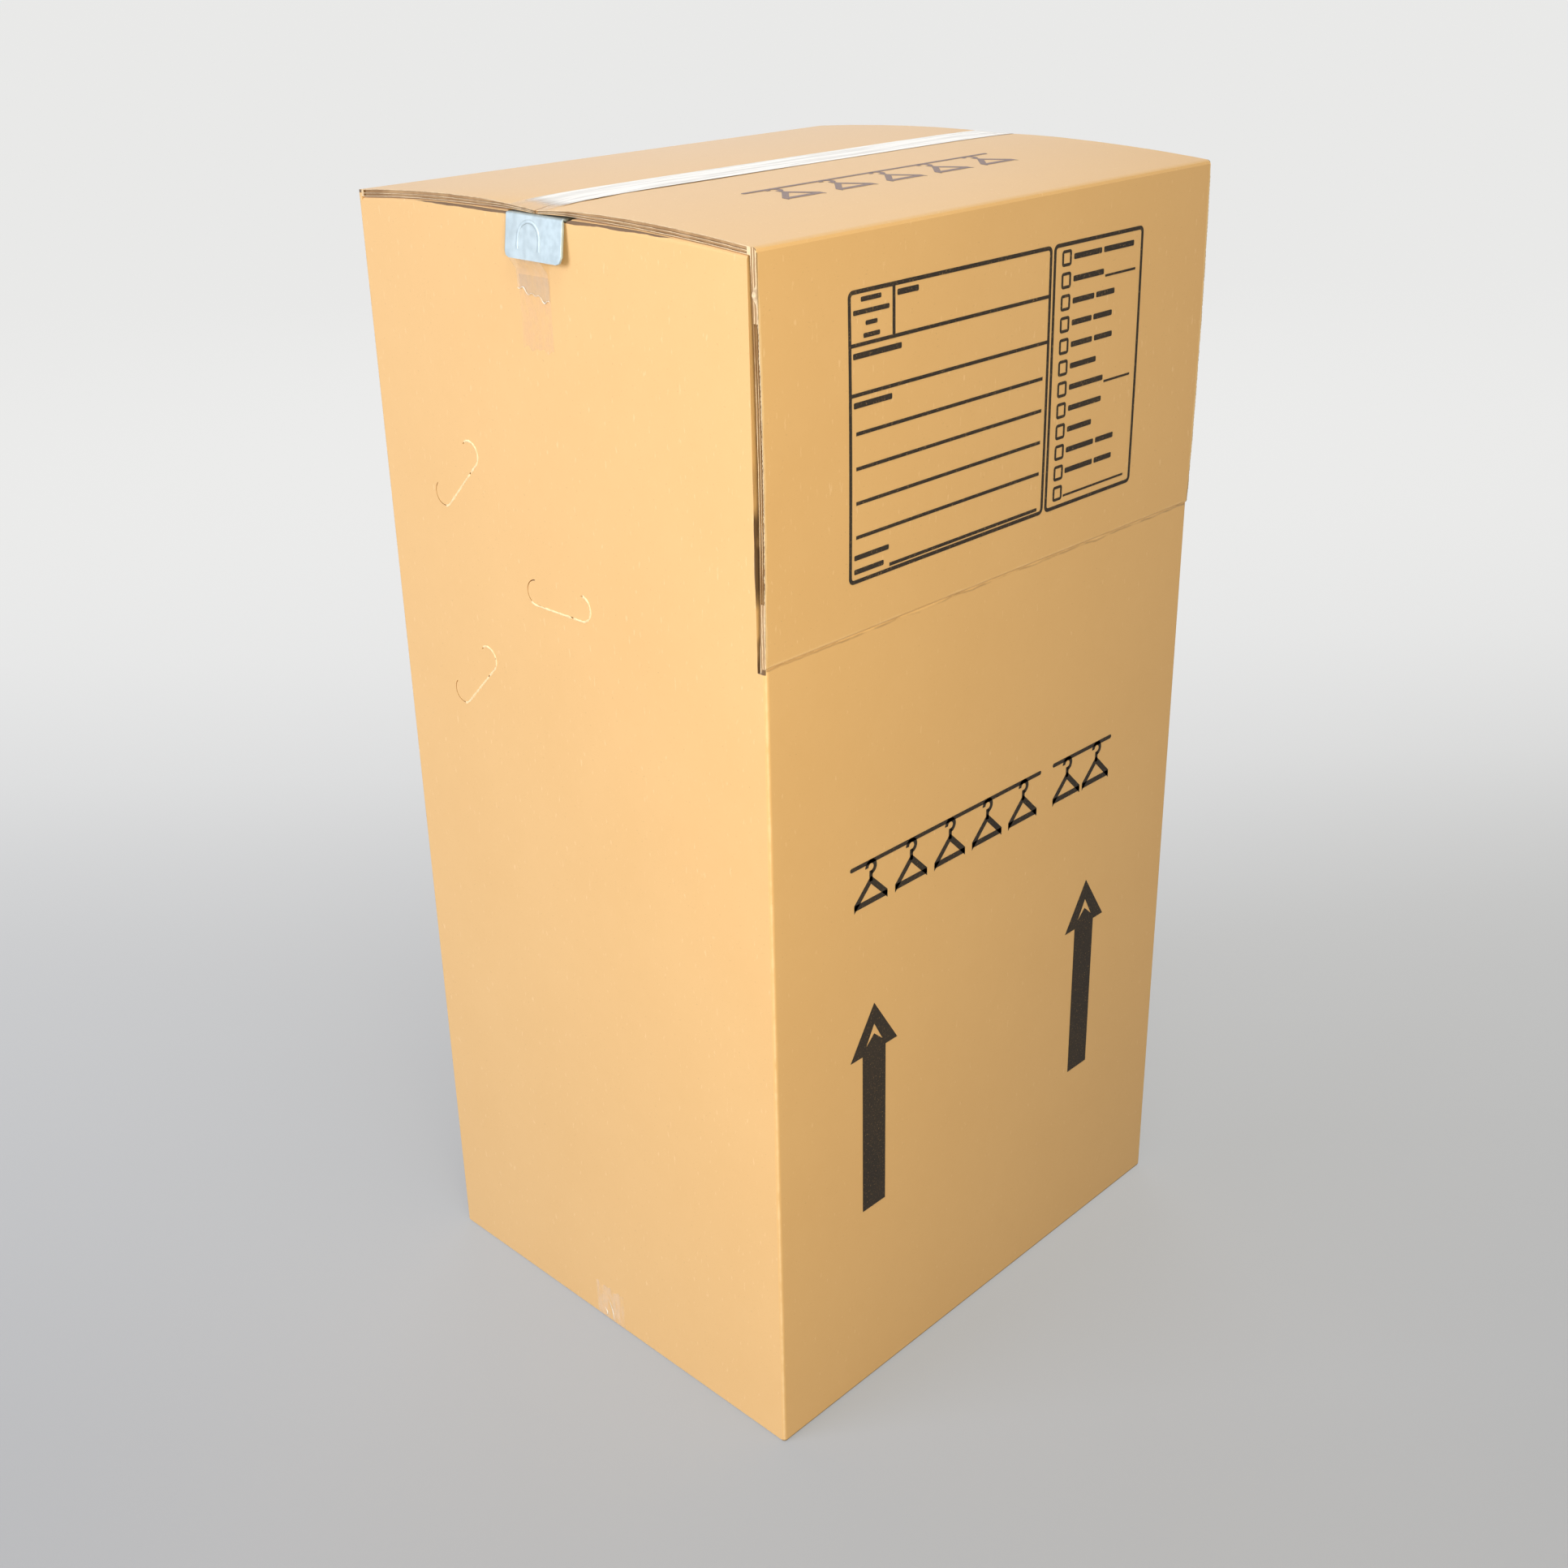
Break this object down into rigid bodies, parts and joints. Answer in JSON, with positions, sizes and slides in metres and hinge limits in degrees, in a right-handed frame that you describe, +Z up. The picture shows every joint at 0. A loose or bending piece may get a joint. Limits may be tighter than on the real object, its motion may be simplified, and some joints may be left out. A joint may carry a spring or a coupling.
{
  "type": "wardrobe moving box",
  "caption": "Tall double-wall cardboard wardrobe box with a drop-front door, closed and taped, with a pressed steel hanger bar across the top.",
  "frame": {"origin": "middle of the footprint, on the floor", "axes": "+Z up; -Y is the front with the drop-front door and the print; the hanger bar and both taped seams run along X"},
  "size_m": [0.6346, 0.5182, 1.1797],
  "materials": {
    "kraft_board": "matt brown kraft board with dark print",
    "galvanised_steel": "dull galvanised sheet",
    "packing_tape": "clear glossy film",
    "print_ink": "matt near-black printing ink",
    "faded_ink": "faded matt printing ink"
  },
  "bodies": {
    "root": {"carton": "kraft_board", "hanger_bar": "galvanised_steel", "top_tape": "packing_tape", "old_tape_strip": "packing_tape", "bottom_tape": "packing_tape", "label_frame": "print_ink", "check_list_frame": "print_ink", "label_rule_1": "print_ink", "label_rule_2": "print_ink", "label_rule_3": "print_ink", "label_rule_4": "print_ink", "label_rule_5": "print_ink", "check_box_1": "print_ink", "check_box_2": "print_ink", "check_box_3": "print_ink", "check_box_4": "print_ink", "check_box_5": "print_ink", "check_box_6": "print_ink", "check_box_7": "print_ink", "check_box_8": "print_ink", "check_box_9": "print_ink", "check_box_10": "print_ink", "check_box_11": "print_ink", "check_box_12": "print_ink", "left_arrow": "print_ink", "right_arrow": "print_ink", "wide_hanger_row": "print_ink", "narrow_hanger_row": "print_ink", "top_hanger_row": "faded_ink"}
  },
  "joints": []
}
